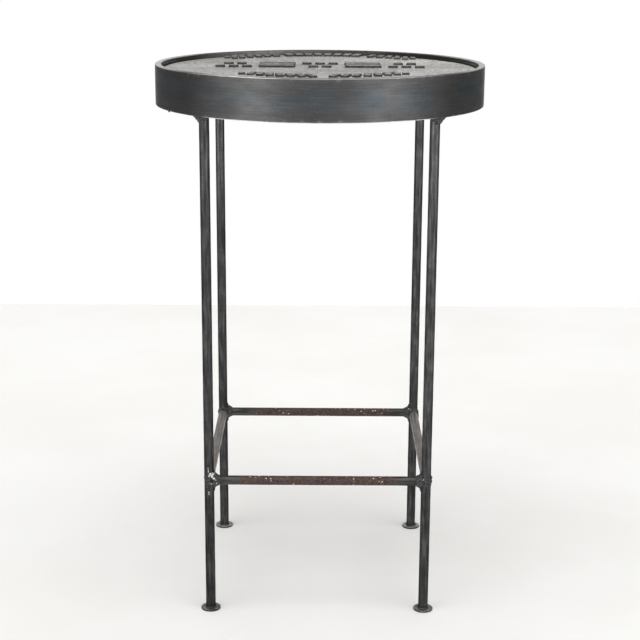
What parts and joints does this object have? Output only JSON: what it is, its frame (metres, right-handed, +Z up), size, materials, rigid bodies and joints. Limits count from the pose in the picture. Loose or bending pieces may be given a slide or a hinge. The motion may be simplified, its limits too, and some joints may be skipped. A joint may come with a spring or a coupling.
{
  "type": "side table",
  "caption": "Round side table: a cast-iron access cover lies loose in a rolled steel band, carried by a welded frame of thin round bars with stretchers and disc feet.",
  "frame": {"origin": "on the floor, on the table's vertical axis", "axes": "+Z up; +X to the viewer's right and +Y to the rear, along the stretchers"},
  "size_m": [0.4254, 0.4254, 0.702],
  "materials": {
    "cover_iron": "worn as-cast top, dull warm grey, rough",
    "band_steel": "dark mill scale with faint rolling streaks, satin",
    "leg_steel": "dark hot-rolled bar, waxed",
    "stretcher_steel": "dark hot-rolled bar with brown rust under wax",
    "foot_steel": "dull grey washer steel",
    "weld_steel": "dark weld bead with scattered bright spots"
  },
  "bodies": {
    "frame": {"ring_band": "band_steel", "band_seam_weld": "weld_steel", "seat_ring": "band_steel", "seat_ring_welds": "weld_steel", "leg_front_left": "leg_steel", "leg_front_right": "leg_steel", "leg_rear_left": "leg_steel", "leg_rear_right": "leg_steel", "stretcher_front": "stretcher_steel", "stretcher_rear": "stretcher_steel", "stretcher_left": "stretcher_steel", "stretcher_right": "stretcher_steel", "foot_front_left": "foot_steel", "foot_front_right": "foot_steel", "foot_rear_left": "foot_steel", "foot_rear_right": "foot_steel", "band_weld_front_left": "weld_steel", "band_weld_front_right": "weld_steel", "band_weld_rear_left": "weld_steel", "band_weld_rear_right": "weld_steel", "joint_weld_front_left": "weld_steel", "joint_weld_front_right": "weld_steel", "joint_weld_rear_left": "weld_steel", "joint_weld_rear_right": "weld_steel", "foot_weld_front_left": "weld_steel", "foot_weld_front_right": "weld_steel", "foot_weld_rear_left": "weld_steel", "foot_weld_rear_right": "weld_steel"},
    "cover": {"cover_casting": "cover_iron"}
  },
  "joints": [
    {"name": "cover_lift", "type": "slide", "parent": "frame", "child": "cover", "axis": [0, 0, 1], "range_m": [0, 0.12]}
  ]
}
